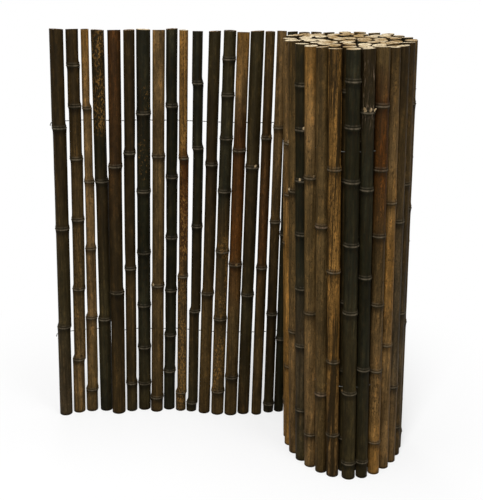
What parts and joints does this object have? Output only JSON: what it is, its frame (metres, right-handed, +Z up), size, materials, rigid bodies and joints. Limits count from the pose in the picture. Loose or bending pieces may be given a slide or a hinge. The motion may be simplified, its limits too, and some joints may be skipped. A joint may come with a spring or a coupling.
{
  "type": "rolled bamboo fence",
  "caption": "Free-standing bamboo cane fence threaded on two wires, with one end opened out as a flat panel and the rest wound into a standing roll.",
  "frame": {"origin": "middle of the fence's footprint, on the floor that its feet stand on", "axes": "+X runs along the panel from its free end to the roll, -Y is the front, where the roll stands forward of the panel, and +Z is up along the canes"},
  "size_m": [0.8129, 0.3306, 0.916],
  "materials": {
    "dark_brown_bamboo": "smooth waxy culm with cream cut ends",
    "mottled_bamboo": "smooth waxy culm with cream cut ends",
    "tan_bamboo": "smooth waxy culm with cream cut ends",
    "red_brown_bamboo": "smooth waxy culm with cream cut ends",
    "black_bamboo": "smooth waxy culm with cream cut ends",
    "olive_bamboo": "smooth waxy culm with cream cut ends",
    "brown_bamboo": "smooth waxy culm with cream cut ends",
    "striped_bamboo": "smooth waxy culm with cream cut ends",
    "galvanised_wire": "dull galvanised"
  },
  "bodies": {
    "root": {"core_canes_1": "brown_bamboo", "core_canes_2": "dark_brown_bamboo", "core_canes_3": "black_bamboo", "core_canes_4": "brown_bamboo", "lower_wire": "galvanised_wire", "outer_turn_cane_01": "dark_brown_bamboo", "outer_turn_cane_02": "brown_bamboo", "outer_turn_cane_03": "dark_brown_bamboo", "outer_turn_cane_04": "olive_bamboo", "outer_turn_cane_05": "dark_brown_bamboo", "outer_turn_cane_06": "black_bamboo", "outer_turn_cane_07": "brown_bamboo", "outer_turn_cane_08": "dark_brown_bamboo", "outer_turn_cane_09": "dark_brown_bamboo", "outer_turn_cane_10": "brown_bamboo", "outer_turn_cane_11": "tan_bamboo", "outer_turn_cane_12": "red_brown_bamboo", "outer_turn_cane_13": "black_bamboo", "outer_turn_cane_14": "black_bamboo", "outer_turn_cane_15": "striped_bamboo", "outer_turn_cane_16": "brown_bamboo", "outer_turn_cane_17": "tan_bamboo", "outer_turn_cane_18": "black_bamboo", "outer_turn_cane_19": "red_brown_bamboo", "outer_turn_cane_20": "olive_bamboo", "outer_turn_cane_21": "tan_bamboo", "panel_cane_01": "dark_brown_bamboo", "panel_cane_02": "mottled_bamboo", "panel_cane_03": "tan_bamboo", "panel_cane_04": "mottled_bamboo", "panel_cane_05": "red_brown_bamboo", "panel_cane_06": "dark_brown_bamboo", "panel_cane_07": "black_bamboo", "panel_cane_08": "olive_bamboo", "panel_cane_09": "black_bamboo", "panel_cane_10": "mottled_bamboo", "panel_cane_11": "black_bamboo", "panel_cane_12": "dark_brown_bamboo", "panel_cane_13": "dark_brown_bamboo", "panel_cane_14": "red_brown_bamboo", "panel_cane_15": "olive_bamboo", "panel_cane_16": "brown_bamboo", "panel_cane_17": "olive_bamboo", "panel_cane_18": "black_bamboo", "panel_cane_19": "dark_brown_bamboo", "panel_cane_20": "brown_bamboo", "panel_cane_21": "dark_brown_bamboo", "second_turn_canes_1": "dark_brown_bamboo", "second_turn_canes_2": "brown_bamboo", "second_turn_canes_3": "black_bamboo", "second_turn_canes_4": "dark_brown_bamboo", "second_turn_canes_5": "olive_bamboo", "second_turn_canes_6": "dark_brown_bamboo", "second_turn_canes_7": "brown_bamboo", "third_turn_canes_1": "dark_brown_bamboo", "third_turn_canes_2": "black_bamboo", "third_turn_canes_3": "brown_bamboo", "third_turn_canes_4": "dark_brown_bamboo", "third_turn_canes_5": "red_brown_bamboo", "upper_wire": "galvanised_wire"}
  },
  "joints": []
}
